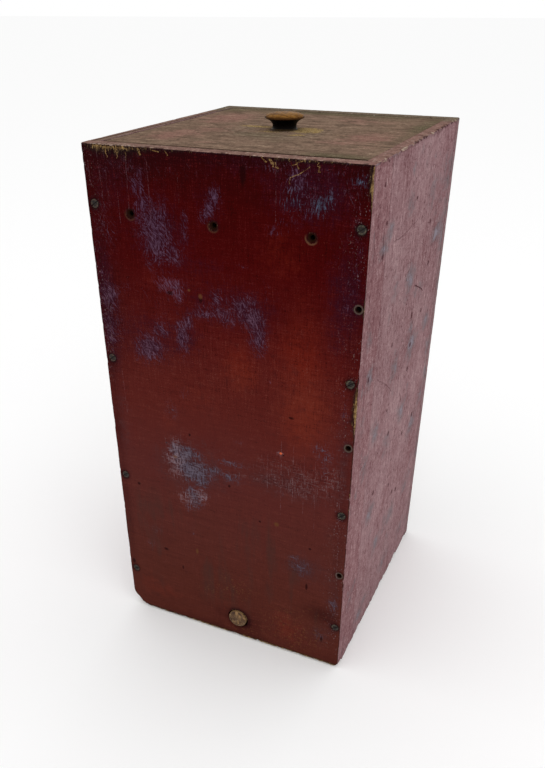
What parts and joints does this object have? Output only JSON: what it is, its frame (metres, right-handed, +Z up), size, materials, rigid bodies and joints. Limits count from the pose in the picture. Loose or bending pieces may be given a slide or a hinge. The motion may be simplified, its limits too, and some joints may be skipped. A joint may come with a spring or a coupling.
{
  "type": "flour sifter",
  "caption": "Tall painted wooden flour bin with a lift-off knobbed lid, sloping hopper boards, a round-bottomed wire screen in its base and a cranked agitator that sifts flour out below.",
  "frame": {"origin": "middle of the rectangular footprint, on the plane the bin stands on", "axes": "+Z up, -Y out of the front board, +X to the right seen from the front"},
  "size_m": [0.254, 0.3359, 0.5156],
  "materials": {
    "red_paint": "worn dark red paint over wood",
    "worn_lid": "paint worn to dull bare wood",
    "turned_knob": "hand-polished turned wood",
    "bare_wood": "unpainted pine, dusty",
    "dowel": "rough end grain",
    "wire_cloth": "dull tinned wire",
    "steel": "dull",
    "rusty_steel": "lightly rusted",
    "leather": "dry"
  },
  "bodies": {
    "case": {"front_board": "red_paint", "back_board": "red_paint", "left_side_board": "red_paint", "right_side_board": "red_paint", "right_side_front_strip": "red_paint", "bottom_board": "bare_wood", "hopper_board_left": "bare_wood", "hopper_board_right": "bare_wood", "hopper_cleat_left": "bare_wood", "hopper_cleat_right": "bare_wood", "screen_rail_left": "bare_wood", "screen_rail_right": "bare_wood", "screen_mesh": "wire_cloth", "screen_nails": "rusty_steel", "bearing_block_front": "bare_wood", "bearing_block_back": "bare_wood", "lid_rest_left": "bare_wood", "lid_rest_right": "bare_wood", "lid_rest_nails": "rusty_steel", "cleat_nails": "rusty_steel", "hopper_nails": "rusty_steel", "bottom_nails": "rusty_steel", "front_screws": "rusty_steel", "back_screws": "rusty_steel"},
    "lid": {"lid_panel": "worn_lid", "lid_knob": "turned_knob", "lid_knob_screw": "rusty_steel"},
    "agitator": {"agitator_shaft": "dowel", "agitator_spokes": "steel", "agitator_bars": "steel", "shaft_retaining_pin": "steel", "shaft_washer_front": "leather", "shaft_washer_back": "leather", "crank_arm": "bare_wood", "crank_cross_pin": "steel", "crank_handle_pin": "steel", "crank_handle_washer": "steel"},
    "crank_grip": {"crank_handle": "turned_knob"}
  },
  "joints": [
    {"name": "lid_lift", "type": "slide", "parent": "case", "child": "lid", "axis": [0, 0, 1], "range_m": [0, 0.12]},
    {"name": "crank_turn", "type": "hinge", "parent": "case", "child": "agitator", "pos_m": [0.009, 0.1452, 0.0255], "axis": [0, 1, 0], "continuous": true},
    {"name": "handle_spin", "type": "hinge", "parent": "agitator", "child": "crank_grip", "pos_m": [0.009, 0.1736, 0.0855], "axis": [0, 1, 0], "continuous": true}
  ]
}
